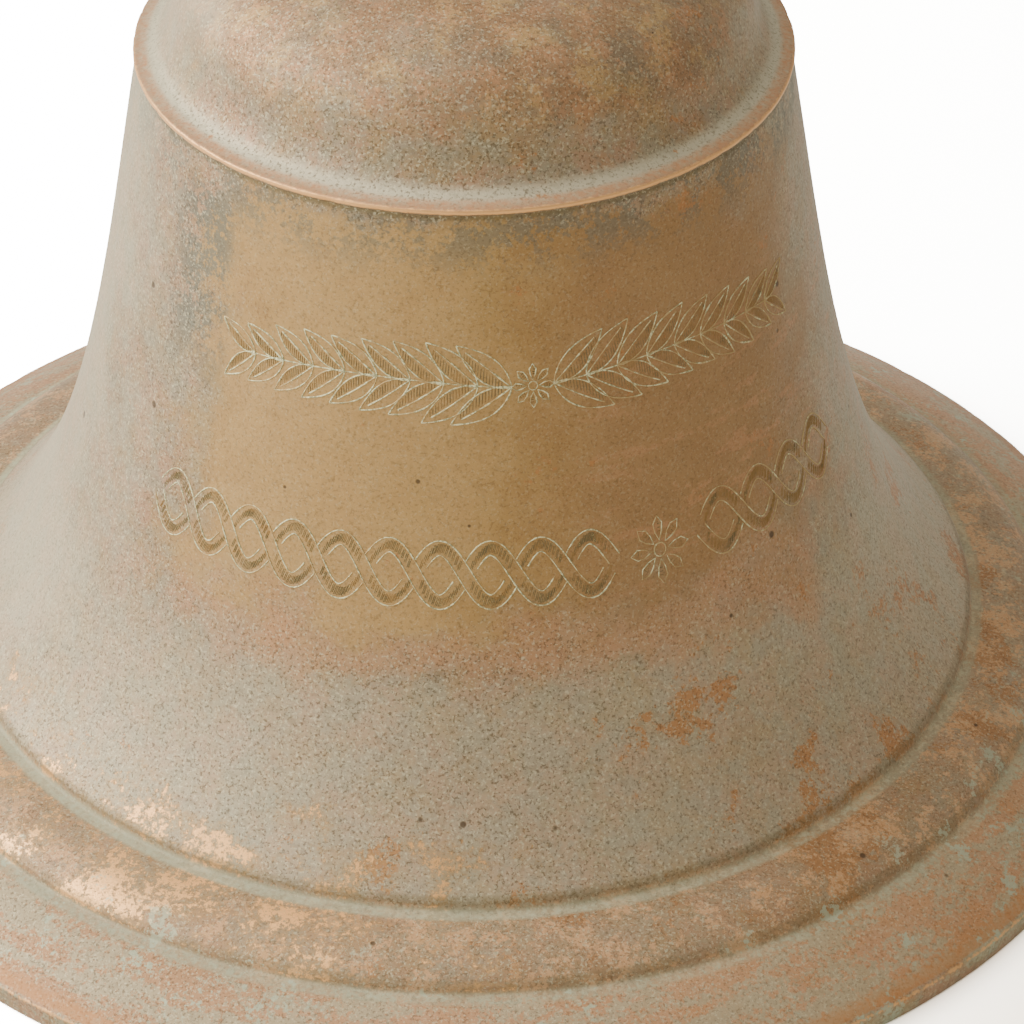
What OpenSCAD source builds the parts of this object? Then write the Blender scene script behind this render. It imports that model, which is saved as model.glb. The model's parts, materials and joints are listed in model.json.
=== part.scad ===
// Cast bronze ship bell with a wide flared mouth, hung by an eye nut on a bolt through its crown.
// The clapper hangs inside from a pinned fork that swivels on the bolt's lower end.
// Millimetres. The origin is on the bell's axis in the plane of its mouth, with +Z up through the crown.

/* [Bell] */
// Diameter across the mouth
mouth_d = 300; // [252:1:360]
// Diameter over the shoulder ridge
shoulder_d = 134.4; // [114:0.2:160]
// Height of the shoulder ridge above the mouth
shoulder_h = 157; // [134:1:188]
// Rise of the domed head above the shoulder ridge
head_h = 29; // [25:1:34]
// How far the head's steep side stands in from the ridge
head_inset = 8.9; // [7.5:0.1:10.6]
// Wall of the waist
waist_wall = 6; // [5:0.1:7.2]
// Wall at the bow, where the clapper's blow is carried
bow_wall = 9.5; // [8:0.1:11.4]
// Wall of the crown under the bolt
crown_wall = 9; // [7.5:0.1:10.8]

/* [Mouldings] */
// Upright edge of the lip
lip_edge = 5; // [4.2:0.1:6]
// Width of the flat ring that the bell stands on
lip_flat = 6.5; // [5.5:0.1:7.8]
// From the mouth's edge in to the lower step
lip_band = 21; // [17.5:0.1:25]
// From the lower step in to the upper step
bow_band = 17.6; // [14.8:0.1:21]
// Height of the lower step's foot
lower_step_h = 14.1; // [13:0.1:16.8]
// Height of the upper step's foot
upper_step_h = 20.5; // [18.5:0.1:24.6]
// Rise of the lower step
lower_step = 1.3; // [1.1:0.1:1.5]
// Rise of the upper step
upper_step = 2; // [1.7:0.1:2.4]
// How far the shoulder ridge stands out from the waist
ridge_out = 0.6; // [0.5:0.1:0.7]

/* [Crown fittings] */
// Thread diameter of the crown bolt
bolt_d = 16; // [14:0.5:19]
// Leather pads over and under the crown
leather_t = 3; // [2.5:0.1:3.6]
// Outside diameter of the upper leather pad
leather_d = 46; // [39:1:50]
// Upper washer
upper_washer_t = 4; // [3.4:0.1:4.8]
// Lower washer
lower_washer_t = 3; // [2.5:0.1:3.6]
// Clamp nut, across flats
clamp_nut_af = 30; // [26:1:36]
// Clamp nut height
clamp_nut_h = 12; // [10:0.5:14]
// Bore of the hanging eye
eye_bore_d = 22; // [18.5:0.5:26]
// Radial thickness of the hanging eye's ring
eye_ring = 9; // [7.5:0.5:10.5]
// Width of the hanging eye along its bore
eye_w = 14; // [12:0.5:16.5]

/* [Swivel] */
// Journal diameter on which the fork turns
journal_d = 11; // [9.5:0.5:13]
// Thickness of the fork's bridge
bridge_t = 8; // [7:0.5:9.5]
// Thickness of each ear
ear_t = 4; // [3.5:0.5:5]
// Width of each ear
ear_w = 18; // [16:0.5:21]
// Thrust washers
thrust_t = 1.5; // [1.3:0.1:1.8]
// Slotted nut, across flats
slotted_nut_af = 14; // [13:0.5:16.5]
// Slotted nut height
slotted_nut_h = 6.5; // [5.5:0.1:7.8]

/* [Clapper] */
// Diameter of the clapper's ball
ball_d = 36; // [30:1:42]
// Clearance between the tail of the clapper and what the bell stands on
floor_gap = 5; // [4.5:0.1:6]
// Diameter of the pivot pin
pin_d = 8; // [7:0.5:9]
// Wall of the bush in the clapper's eye
bush_wall = 2; // [1.7:0.1:2.4]
// Outside diameter of the clapper's eye
rod_eye_d = 19; // [17.5:0.5:22]
// Diameter of the clapper's rod under its eye
rod_d = 12; // [10:0.5:14]
// Outside diameter of the eye at the tail
tail_eye_d = 12; // [11:0.5:14]
// Hole in the tail's eye for the rope
tail_bore_d = 6; // [5:0.5:7]

/* [Hidden] */
$fn = 96;
// clearances
running = 0.05; // radial, between a pin or journal and its bore
bolt_play = 0.3; // radial, between the bolt and what it passes through
side_play = 0.3; // axial, between turning pieces
nut_play = 1; // under the bolt's end

// bell outline
mouth_r = mouth_d / 2;
shoulder_r = shoulder_d / 2;
lower_step_r = mouth_r - lip_band;
upper_step_r = lower_step_r - bow_band;
waist_foot = [upper_step_r, upper_step_h + upper_step];
waist_head = [shoulder_r - ridge_out, shoulder_h - 1];
waist_span = waist_foot - waist_head;
// where the waist curve's two handles stand, as shares of its span across and down
waist_top_handle = [0.21, 0.383];
waist_foot_handle = [0.346, 0.808];
side_r = shoulder_r - head_inset; // the steepest place on the head's side
side_h = shoulder_h + 0.41 * head_h;
top_h = shoulder_h + head_h;
under_h = top_h - crown_wall;
seat_r = leather_d / 2 + 3; // flat seats over and under the crown
edge_break = 0.6;

// crown bolt and what is stacked on it
bolt_r = bolt_d / 2;
upper_leather_h = top_h + leather_t;
upper_washer_h = upper_leather_h + upper_washer_t;
clamp_nut_top = upper_washer_h + clamp_nut_h;
eye_boss_h = bolt_d * 0.85;
eye_boss_r = bolt_r + 6;
eye_r = eye_bore_d / 2 + eye_ring;
eye_h = clamp_nut_top + eye_boss_h + eye_r - eye_ring * 0.7; // centre of the hanging eye
bolt_top = clamp_nut_top + eye_boss_h - 1.5;
eye_pin_d = 4;
inner_washer_top = under_h - leather_t;
flange_top = inner_washer_top - lower_washer_t;
flange_t = 5;
flange_r = bolt_r + 7;
flange_foot = flange_top - flange_t;
journal_r = journal_d / 2;
thread_r = journal_r - 1;
bridge_top = flange_foot - thrust_t - side_play / 2;
bridge_foot = bridge_top - bridge_t;
lower_thrust_top = bridge_foot - side_play / 2;
slotted_nut_top = lower_thrust_top - thrust_t;
slotted_nut_foot = slotted_nut_top - slotted_nut_h;
slot_w = 2.6;
slot_h = slotted_nut_h * 0.45;
bolt_foot = slotted_nut_foot - 1;
nut_pin_h = slotted_nut_foot + slot_h / 2;
nut_pin_d = 1.8;
nut_pin_reach = slotted_nut_af / 2 + nut_pin_d * 0.6; // from the axis to the split pin's loop
nut_pin_sweep = nut_pin_reach + nut_pin_d * 2; // circle that the split pin's ends turn in

// clapper
rod_eye_r = rod_eye_d / 2;
pivot_h = bolt_foot - nut_play - rod_eye_r;
pin_r = pin_d / 2;
bush_r = pin_r + running + bush_wall;
ear_in = nut_pin_sweep + 1; // the ears pass the split pin's ends as the fork turns
ear_out = ear_in + ear_t;
boss_r = max(journal_r + 5, ear_w / 2);
eye_half = ear_in - side_play; // half the width of the clapper's eye
ball_r = ball_d / 2;
tail_eye_r = tail_eye_d / 2;
tail_h = floor_gap + tail_eye_r; // centre of the tail's eye
tail_boss_top = tail_h + tail_bore_d / 2 + 7;
ball_h = tail_boss_top + ball_r - 0.8; // the ball's foot is turned flat where the tail bears on it
spindle_r = rod_d / 2 - 2; // the rod's thinner end, which the ball and the tail go on
ball_neck_h = ball_h + ball_r + 5;
ball_neck_r = rod_d / 2 + 2.5;
spindle_foot = tail_h + tail_bore_d / 2 + 2.5;
ball_pin_d = 4;
washer_t = 1.2;
pin_head_t = 3;
pin_tail = 5.4; // pin beyond its washer, with the split pin's hole
split_d = 2;

// points along a cubic Bezier curve
function bezier(a, b, c, d, n) = [
    for (i = [0 : n]) let (t = i / n, s = 1 - t) s * s * s * a + 3 * s * s * t * b + 3 * s * t * t * c + t * t * t * d
];
// its direction of travel
function bezier_way(a, b, c, d, t) =
    let (s = 1 - t, v = 3 * s * s * (b - a) + 6 * s * t * (c - b) + 3 * t * t * (d - c)) v / norm(v);
function handle(share) = [waist_head.x + waist_span.x * share.x, waist_head.y + waist_span.y * share.y];
function waist(n) = bezier(waist_head, handle(waist_top_handle), handle(waist_foot_handle), waist_foot, n);
function waist_way(t) = bezier_way(waist_head, handle(waist_top_handle), handle(waist_foot_handle), waist_foot, t);
function reversed(v) = [for (i = [len(v) - 1 : -1 : 0]) v[i]];
function polar(length, angle) = length * [cos(angle), sin(angle)];

// lip, lower step, rounded bow band and upper step, from the mouth inwards
function lip_outline() = let (
    arris = [mouth_r - edge_break, lip_edge + 0.3],
    foot = [lower_step_r + 0.5, lower_step_h],
    band_foot = [lower_step_r, lower_step_h + lower_step],
    band_head = [upper_step_r + 0.8, upper_step_h]
) concat(
    [[mouth_r - edge_break, 0], [mouth_r, edge_break], [mouth_r, lip_edge - edge_break / 2]],
    bezier(arris, arris + polar(lip_band / 3, 150), foot + polar(lip_band / 3, -12), foot, 6),
    bezier(band_foot, band_foot + polar(bow_band / 3, 138), band_head + polar(bow_band / 3, -6), band_head, 8)
);

// shoulder ridge, cove, steep side and domed head, from the ridge inwards
function head_outline() = let (
    ridge = [shoulder_r, shoulder_h],
    side = [side_r, side_h],
    top = [seat_r, top_h]
) concat(
    [ridge + [0, -0.5], ridge + [0, 0.3]],
    bezier(ridge + [-0.4, 0.6], ridge + [-head_inset * 0.75, 1.2], side + polar(head_h * 0.23, -76), side, 7),
    [for (i = [1 : 9]) bezier(side, side + polar(head_h * 0.37, 104), top + [(side_r - seat_r) * 0.53, -1], top, 9)[i]]
);

// inside of the waist, offset from the outside by a wall that thickens towards the bow
function inner_waist(n) = let (outside = waist(n)) [
    for (i = [1 : n]) let (t = i / n, way = waist_way(t), wall = waist_wall + (bow_wall - waist_wall) * t * t * t)
        outside[i] + wall * [way.y, -way.x]
];

function inner_outline() = let (
    waist_in = inner_waist(16),
    head_foot = waist_in[0],
    lip_head = waist_in[len(waist_in) - 1],
    way = waist_way(1),
    lip_foot = [mouth_r - lip_flat, 0]
) concat(
    bezier([seat_r, under_h], [seat_r + head_h * 0.69, under_h], [side_r - 3.8, shoulder_h + 4], head_foot, 12),
    [for (i = [1 : len(waist_in) - 2]) waist_in[i]],
    bezier(lip_head, lip_head + way * bow_wall, lip_foot + polar(lip_band * 0.67, 155), lip_foot, 8)
);

module bell_shell() {
    color([0.60, 0.50, 0.38])
        rotate_extrude($fn = 180)
            polygon(concat(
                lip_outline(),
                reversed(waist(20)),
                head_outline(),
                [[bolt_r + bolt_play, top_h], [bolt_r + bolt_play, under_h]],
                inner_outline()
            ));
}

// flat ring with its foot at z
module ring(outer_r, inner_r, t, z) {
    translate([0, 0, z])
        difference() {
            cylinder(r = outer_r, h = t);
            translate([0, 0, -1])
                cylinder(r = inner_r, h = t + 2);
        }
}

// hexagonal nut with its foot at z, its corners turned off at both ends
module hex_nut(af, bore_r, h, z) {
    corner_r = af / sqrt(3);
    translate([0, 0, z])
        difference() {
            intersection() {
                cylinder(r = corner_r, h = h, $fn = 6);
                union() {
                    cylinder(r1 = af / 2 * 0.97, r2 = corner_r + 0.4, h = h * 0.2);
                    translate([0, 0, h * 0.2])
                        cylinder(r = corner_r + 0.4, h = h * 0.6);
                    translate([0, 0, h * 0.8])
                        cylinder(r1 = corner_r + 0.4, r2 = af / 2 * 0.97, h = h * 0.2);
                }
            }
            translate([0, 0, -1])
                cylinder(r = bore_r, h = h + 2);
        }
}

// split pin along +X: a loop at the near end, and two legs opened out past the far end
module split_pin(d, from_x, to_x) {
    wire_r = d / 4;
    loop_r = d * 0.8;
    translate([from_x, 0, 0])
        rotate([0, 90, 0])
            cylinder(d = d, h = to_x - from_x, $fn = 24);
    translate([from_x - loop_r * 0.8, 0, 0])
        rotate_extrude($fn = 32)
            translate([loop_r, 0])
                circle(r = wire_r * 1.4, $fn = 16);
    for (side = [-1, 1])
        translate([to_x - 0.6, 0, 0])
            rotate([0, 90 + side * 38, 0])
                cylinder(d = d * 0.6, h = d * 1.6, $fn = 16);
}

module crown_leather() {
    color([0.25, 0.16, 0.10]) ring(leather_d / 2, bolt_r + bolt_play, leather_t, top_h);
}

module upper_washer() {
    washer_r = leather_d / 2 - 2;
    color([0.66, 0.53, 0.34])
        translate([0, 0, upper_leather_h])
            difference() {
                union() {
                    cylinder(r = washer_r, h = upper_washer_t * 0.4);
                    translate([0, 0, upper_washer_t * 0.4])
                        cylinder(r1 = washer_r, r2 = washer_r - 3, h = upper_washer_t * 0.6);
                }
                translate([0, 0, -1])
                    cylinder(r = bolt_r + bolt_play, h = upper_washer_t + 2);
            }
}

module clamp_nut() {
    color([0.62, 0.48, 0.30]) hex_nut(clamp_nut_af, bolt_r + running, clamp_nut_h, upper_washer_h);
}

module hanger_eye() {
    color([0.62, 0.50, 0.34])
        difference() {
            union() {
                translate([0, 0, clamp_nut_top])
                    cylinder(r = eye_boss_r, h = eye_boss_h);
                translate([0, 0, clamp_nut_top + eye_boss_h])
                    cylinder(r1 = eye_boss_r, r2 = eye_w * 0.42, h = eye_ring * 0.75);
                translate([0, 0, eye_h])
                    rotate([90, 0, 0])
                        rotate_extrude()
                            eye_section();
            }
            translate([0, 0, clamp_nut_top - 1])
                cylinder(r = bolt_r + running, h = eye_boss_h);
            translate([0, 0, eye_h])
                rotate([90, 0, 0])
                    cylinder(d = eye_bore_d, h = 2 * eye_boss_r + 2, center = true);
            translate([0, 0, eye_pin_z()])
                rotate([0, 90, 0])
                    cylinder(d = eye_pin_d, h = 4 * eye_boss_r, center = true);
        }
}

function eye_pin_z() = clamp_nut_top + eye_boss_h * 0.45;

// section of the hanging eye's ring: a straight bore with rounded flanks and rim
module eye_section() {
    corner = eye_w * 0.3;
    inner = eye_bore_d / 2;
    polygon(concat(
        [[inner, -eye_w / 2 + 2], [inner, eye_w / 2 - 2], [inner + 2, eye_w / 2]],
        [for (a = [90 : -18 : 0]) [inner + eye_ring - corner, eye_w / 2 - corner] + polar(corner, a)],
        [for (a = [0 : -18 : -90]) [inner + eye_ring - corner, corner - eye_w / 2] + polar(corner, a)],
        [[inner + 2, -eye_w / 2]]
    ));
}

module eye_pin() {
    color([0.55, 0.43, 0.28])
        translate([0, 0, eye_pin_z()])
            rotate([0, 90, 0])
                cylinder(d = eye_pin_d, h = 2 * eye_boss_r + 2, center = true);
}

module inner_leather() {
    color([0.25, 0.16, 0.10]) ring(leather_d / 2 - 2, bolt_r + bolt_play, leather_t, inner_washer_top);
}

module inner_washer() {
    color([0.66, 0.53, 0.34]) ring(leather_d / 2 - 4, bolt_r + bolt_play, lower_washer_t, flange_top);
}

module crown_bolt() {
    color([0.50, 0.42, 0.33])
        difference() {
            union() {
                translate([0, 0, flange_foot])
                    cylinder(r = bolt_r, h = bolt_top - flange_foot - 1);
                translate([0, 0, bolt_top - 1])
                    cylinder(r1 = bolt_r, r2 = bolt_r - 1, h = 1);
                translate([0, 0, flange_foot])
                    cylinder(r = flange_r, h = flange_t);
                translate([0, 0, lower_thrust_top])
                    cylinder(r = journal_r, h = flange_foot - lower_thrust_top + 1);
                translate([0, 0, bolt_foot])
                    cylinder(r = thread_r, h = lower_thrust_top - bolt_foot + 1);
            }
            translate([0, 0, eye_pin_z()])
                rotate([0, 90, 0])
                    cylinder(d = eye_pin_d, h = 4 * bolt_r, center = true);
            translate([0, 0, nut_pin_h])
                rotate([0, 90, 0])
                    cylinder(d = nut_pin_d, h = 4 * thread_r, center = true);
        }
}

module upper_thrust_washer() {
    color([0.70, 0.56, 0.34]) ring(boss_r - 0.5, journal_r + running, thrust_t, flange_foot - thrust_t);
}

module lower_thrust_washer() {
    color([0.70, 0.56, 0.34]) ring(min(boss_r - 0.5, ear_in - side_play), thread_r + running, thrust_t, slotted_nut_top);
}

module slotted_nut() {
    color([0.62, 0.48, 0.30])
        difference() {
            rotate([0, 0, 30])
                hex_nut(slotted_nut_af, thread_r + running, slotted_nut_h, slotted_nut_foot);
            for (turn = [0 : 60 : 120])
                translate([0, 0, slotted_nut_foot - 1 + (slot_h + 1) / 2])
                    rotate([0, 0, turn])
                        cube([slotted_nut_af * 1.3, slot_w, slot_h + 1], center = true);
        }
}

module nut_split_pin() {
    color([0.72, 0.62, 0.42])
        translate([0, 0, nut_pin_h])
            split_pin(nut_pin_d, -nut_pin_reach, nut_pin_reach);
}

module swivel_fork() {
    ear_foot = pivot_h;
    color([0.52, 0.43, 0.32])
        difference() {
            union() {
                translate([0, 0, bridge_foot])
                    cylinder(r = boss_r, h = bridge_t);
                translate([-ear_w / 2, -ear_out, bridge_foot])
                    cube([ear_w, 2 * ear_out, bridge_t]);
                for (side = [-1, 1]) {
                    translate([-ear_w / 2, side > 0 ? ear_in : -ear_out, ear_foot])
                        cube([ear_w, ear_t, bridge_foot - ear_foot + 1]);
                    translate([0, side * (ear_in + ear_out) / 2, pivot_h])
                        rotate([90, 0, 0])
                            cylinder(d = ear_w, h = ear_t, center = true);
                }
            }
            translate([0, 0, bridge_foot - 1])
                cylinder(r = journal_r + running, h = bridge_t + 2);
            translate([0, 0, pivot_h])
                rotate([90, 0, 0])
                    cylinder(r = pin_r + running, h = 2 * ear_out + 2, center = true);
        }
}

module pivot_pin() {
    color([0.60, 0.50, 0.36])
        translate([0, 0, pivot_h])
            rotate([90, 0, 0])
                difference() {
                    union() {
                        translate([0, 0, -ear_out - washer_t - pin_tail])
                            cylinder(r = pin_r, h = 2 * ear_out + washer_t + pin_tail + 0.5);
                        translate([0, 0, ear_out])
                            cylinder(r = pin_r + 2.5, h = pin_head_t);
                    }
                    translate([0, 0, -ear_out - washer_t - pin_tail / 2])
                        rotate([0, 90, 0])
                            cylinder(d = split_d, h = 4 * pin_r, center = true);
                }
}

module pivot_washer() {
    color([0.70, 0.56, 0.34])
        translate([0, 0, pivot_h])
            rotate([-90, 0, 0])
                ring(pin_r + 3, pin_r + 0.2, washer_t, ear_out);
}

module pivot_split_pin() {
    color([0.72, 0.62, 0.42])
        translate([0, ear_out + washer_t + pin_tail / 2, pivot_h])
            split_pin(split_d, -pin_r - 1, pin_r + 1);
}

module clapper_rod() {
    collar_t = 3;
    color([0.47, 0.40, 0.33])
        difference() {
            union() {
                translate([0, 0, pivot_h])
                    rotate([90, 0, 0])
                        cylinder(r = rod_eye_r, h = 2 * eye_half, center = true);
                translate([0, 0, ball_neck_h])
                    cylinder(r1 = rod_d / 2 + 0.8, r2 = rod_d / 2 - 0.6, h = pivot_h - ball_neck_h - rod_eye_r / 2);
                translate([0, 0, ball_neck_h])
                    cylinder(r = ball_neck_r, h = collar_t);
                translate([0, 0, spindle_foot])
                    cylinder(r = spindle_r, h = ball_neck_h - spindle_foot + 1);
            }
            translate([0, 0, pivot_h])
                rotate([90, 0, 0])
                    cylinder(r = bush_r, h = 2 * ear_out, center = true);
            translate([0, 0, ball_h])
                rotate([0, 90, 0])
                    cylinder(d = ball_pin_d, h = 4 * spindle_r, center = true);
        }
}

module clapper_bush() {
    color([0.78, 0.62, 0.34])
        translate([0, 0, pivot_h])
            rotate([-90, 0, 0])
                ring(bush_r, pin_r + running, 2 * eye_half, -eye_half);
}

module clapper_ball() {
    color([0.55, 0.44, 0.32])
        difference() {
            union() {
                translate([0, 0, ball_h])
                    sphere(r = ball_r);
                translate([0, 0, ball_h + ball_r * 0.7])
                    cylinder(r1 = ball_r * 0.62, r2 = ball_neck_r, h = ball_neck_h - ball_h - ball_r * 0.7);
            }
            translate([0, 0, tail_boss_top - ball_r])
                cylinder(r = ball_r, h = ball_r);
            translate([0, 0, tail_boss_top - 1])
                cylinder(r = spindle_r + running, h = 3 * ball_r);
            translate([0, 0, ball_h])
                rotate([0, 90, 0])
                    cylinder(d = ball_pin_d, h = 3 * ball_r, center = true);
        }
}

module ball_pin() {
    color([0.60, 0.50, 0.36])
        translate([0, 0, ball_h])
            rotate([0, 90, 0])
                cylinder(d = ball_pin_d, h = 2 * ball_r - 0.6, center = true);
}

module tail_eye() {
    eye_t = tail_eye_d * 0.55;
    color([0.52, 0.43, 0.32])
        difference() {
            union() {
                translate([0, 0, tail_h])
                    rotate([90, 0, 0])
                        cylinder(r = tail_eye_r, h = eye_t, center = true);
                translate([0, 0, tail_h + tail_bore_d / 2 + 1.5])
                    cylinder(r1 = tail_eye_r * 0.75, r2 = tail_eye_r, h = 2.5);
                translate([0, 0, tail_h + tail_bore_d / 2 + 4])
                    cylinder(r = tail_eye_r, h = tail_boss_top - tail_h - tail_bore_d / 2 - 4);
            }
            translate([0, 0, spindle_foot - 0.5])
                cylinder(r = spindle_r + running, h = tail_boss_top);
            translate([0, 0, tail_h])
                rotate([90, 0, 0])
                    cylinder(d = tail_bore_d, h = tail_eye_d, center = true);
        }
}

bell_shell();
crown_leather();
upper_washer();
clamp_nut();
hanger_eye();
eye_pin();
inner_leather();
inner_washer();
crown_bolt();
upper_thrust_washer();
lower_thrust_washer();
slotted_nut();
nut_split_pin();
swivel_fork();
pivot_pin();
pivot_washer();
pivot_split_pin();
clapper_rod();
clapper_bush();
clapper_ball();
ball_pin();
tail_eye();
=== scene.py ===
import bmesh
import bpy
import json
import math
from mathutils import Matrix, Vector

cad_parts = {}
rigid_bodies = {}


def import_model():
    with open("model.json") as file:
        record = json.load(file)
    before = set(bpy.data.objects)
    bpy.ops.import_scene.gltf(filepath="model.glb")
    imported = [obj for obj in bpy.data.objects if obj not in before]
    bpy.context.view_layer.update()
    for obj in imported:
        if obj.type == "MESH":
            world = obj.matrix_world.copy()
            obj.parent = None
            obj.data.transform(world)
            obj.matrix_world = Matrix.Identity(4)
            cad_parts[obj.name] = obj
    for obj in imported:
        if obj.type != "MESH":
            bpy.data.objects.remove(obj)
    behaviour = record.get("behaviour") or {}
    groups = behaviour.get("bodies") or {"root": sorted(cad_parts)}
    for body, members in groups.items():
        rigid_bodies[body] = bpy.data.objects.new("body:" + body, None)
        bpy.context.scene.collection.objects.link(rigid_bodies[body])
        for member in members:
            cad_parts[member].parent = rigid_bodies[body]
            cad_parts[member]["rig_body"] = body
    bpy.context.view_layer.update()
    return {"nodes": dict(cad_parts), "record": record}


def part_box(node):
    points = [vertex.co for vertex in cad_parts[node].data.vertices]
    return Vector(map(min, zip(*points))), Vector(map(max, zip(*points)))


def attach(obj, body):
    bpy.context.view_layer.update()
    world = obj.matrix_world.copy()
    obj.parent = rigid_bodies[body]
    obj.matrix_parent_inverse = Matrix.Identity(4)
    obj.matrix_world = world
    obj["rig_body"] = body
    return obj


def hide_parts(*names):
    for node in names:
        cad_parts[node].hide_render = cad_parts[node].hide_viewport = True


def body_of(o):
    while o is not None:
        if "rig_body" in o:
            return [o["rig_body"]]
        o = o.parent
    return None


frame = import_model()
mm = 0.001
nodes = frame["nodes"]
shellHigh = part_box("bell_shell")[1]
print("frame loaded:", len(nodes), "nodes")


# helpers that add nodes and bake meshes
class Field:  # a socket that adds its own math nodes when it is used in a sum
    def __init__(self, socket):
        self.socket = socket
        self.tree = socket.id_data

    def do(self, operation, other=0.0, clamp=False):
        return put(self.tree, "ShaderNodeMath", {0: self, 1: other}, operation=operation, use_clamp=clamp)[0]

    def __add__(self, other):
        return self.do("ADD", other)

    def __mul__(self, other):
        return self.do("MULTIPLY", other)

    def __sub__(self, other):
        return self.do("SUBTRACT", other)

    def __rsub__(self, other):
        return self * -1.0 + other

    __radd__ = __add__
    __rmul__ = __mul__

    def most(self, other):
        return self.do("MAXIMUM", other)

    def ramp(self, low, high, toLow=0.0, toHigh=1.0):  # smooth step, also with its ends swapped
        return put(self.tree, "ShaderNodeMapRange",
                   {"Value": self, "From Min": low, "From Max": high, "To Min": toLow, "To Max": toHigh},
                   interpolation_type="SMOOTHSTEP")["Result"]

    def between(self, start, full, fade, end):
        return self.ramp(start, full) * self.ramp(end, fade)

    def cover(self, mask, over, blend="MIX"):  # this colour with another one over it
        return put(self.tree, "ShaderNodeMix", {0: mask, 6: self, 7: over}, data_type="RGBA", blend_type=blend)[2]


class Outs:  # a node's outputs as fields, by name or number
    def __init__(self, node):
        self.node = node

    def __getitem__(self, key):
        return Field(self.node.outputs[key])


def join(tree, value, socket):
    if isinstance(value, Field):
        tree.links.new(value.socket, socket)
    else:
        socket.default_value = value


def put(tree, kind, inputs=None, **settings):  # adds a node, sets it up and gives back its outputs
    node = tree.nodes.new(kind)
    for name, value in settings.items():
        setattr(node, name, value)
    for name, value in (inputs or {}).items():
        join(tree, value, node.inputs[name])
    return Outs(node)


def newGroup(name, ins, outs, kind="ShaderNodeTree"):
    group = bpy.data.node_groups.new(name, kind)
    for label, socketType, value in ins:
        socket = group.interface.new_socket(label, in_out="INPUT", socket_type="NodeSocket" + socketType)
        if value is not None:
            socket.default_value = value
    for label, socketType in outs:
        group.interface.new_socket(label, in_out="OUTPUT", socket_type="NodeSocket" + socketType)
    return group, Outs(group.nodes.new("NodeGroupInput")), group.nodes.new("NodeGroupOutput").inputs


def useGroup(tree, group, **inputs):
    named = {label.replace("_", " "): value for label, value in inputs.items()}
    return put(tree, "ShaderNodeGroup", named, node_tree=group)


def tint(red, green, blue):  # display values from 0 to 255 to linear light
    return tuple(v / 255 / 12.92 if v < 11 else ((v / 255 + 0.055) / 1.055) ** 2.4
                 for v in (red, green, blue)) + (1.0,)


def newMaterial(name):  # gives the shader and the object's own coordinates in millimetres
    material = bpy.data.materials.new(name)
    material.use_nodes = True
    tree = material.node_tree
    where = put(tree, "ShaderNodeTexCoord")["Object"]
    return material, tree, tree.nodes["Principled BSDF"].inputs, put(
        tree, "ShaderNodeVectorMath", {0: where, "Scale": 1000.0}, operation="SCALE")[0]


def solidTint(tree, value):
    return put(tree, "ShaderNodeMix", {0: 0.0, 6: value, 7: value}, data_type="RGBA")[2]


def meshObject(name, points, faces=(), edges=()):
    mesh = bpy.data.meshes.new(name)
    mesh.from_pydata([tuple(p) for p in points], list(edges), [tuple(f) for f in faces])
    mesh.update()
    item = bpy.data.objects.new(name, mesh)
    bpy.context.scene.collection.objects.link(item)
    return item


def bakeNodes(item, *steps):  # runs Geometry Nodes trees in turn and keeps the result as a plain mesh
    for group, settings in steps:
        modifier = item.modifiers.new(group.name, "NODES")
        modifier.node_group = group
        sockets = {s.name: s.identifier for s in group.interface.items_tree if s.in_out == "INPUT"}
        for name, value in settings.items():
            modifier[sockets[name]] = value
    bpy.context.view_layer.update()
    mesh = bpy.data.meshes.new_from_object(item.evaluated_get(bpy.context.evaluated_depsgraph_get()))
    item.modifiers.clear()
    item.data = mesh
    mesh.name = item.name
    return item


def keep(piece, body, slot, *replaced):
    if replaced:
        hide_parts(*replaced)
    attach(piece, body)


# shader groups that the finishes share
speckle, gin, gout = newGroup("cast speckle", [("Vector", "Vector", None), ("Grain", "Float", 0.4)],
                              [("Light", "Float"), ("Dark", "Float"), ("Height", "Float")])
grains = put(speckle, "ShaderNodeTexNoise", {"Vector": gin["Vector"], "Scale": gin["Grain"].do("POWER", -1.0),
                                             "Detail": 1.5, "Roughness": 0.7})
parts = put(speckle, "ShaderNodeSeparateColor", {0: grains["Color"]})
join(speckle, parts[0].ramp(0.53, 0.68), gout["Light"])
join(speckle, parts[1].ramp(0.52, 0.68), gout["Dark"])
join(speckle, parts[0] - parts[1], gout["Height"])

patch, gin, gout = newGroup("ragged patch", [
    ("Vector", "Vector", None), ("Size", "Float", 20.0), ("Amount", "Float", 0.5), ("Soft", "Float", 0.05),
    ("Break Up", "Float", 0.0), ("Ragged", "Float", 0.3), ("Shift", "Vector", None)], [("Mask", "Float")])
moved = put(patch, "ShaderNodeVectorMath", {0: gin["Vector"], 1: gin["Shift"]}, operation="ADD")[0]
cloud = put(patch, "ShaderNodeTexNoise", {"Vector": moved, "Scale": gin["Size"].do("POWER", -1.0), "Detail": 3.0,
                                          "Roughness": 0.6})["Fac"]
cloud = cloud + gin["Break Up"] * gin["Ragged"] + gin["Amount"] - 1.0
join(patch, cloud.ramp(gin["Soft"] * -1.0, gin["Soft"]), gout["Mask"])

pitting, gin, gout = newGroup("casting pits", [
    ("Vector", "Vector", None), ("Spacing", "Float", 10.0), ("Radius", "Float", 0.1), ("Share", "Float", 0.3)],
    [("Mask", "Float")])
cells = put(pitting, "ShaderNodeTexVoronoi", {"Vector": gin["Vector"], "Scale": gin["Spacing"].do("POWER", -1.0)})
lot = put(pitting, "ShaderNodeSeparateColor", {0: cells["Color"]})
size = gin["Radius"] * (lot[1] + 0.35)
join(pitting, cells["Distance"].ramp(size, size * 0.5) * lot[0].do("LESS_THAN", gin["Share"]), gout["Mask"])

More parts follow.
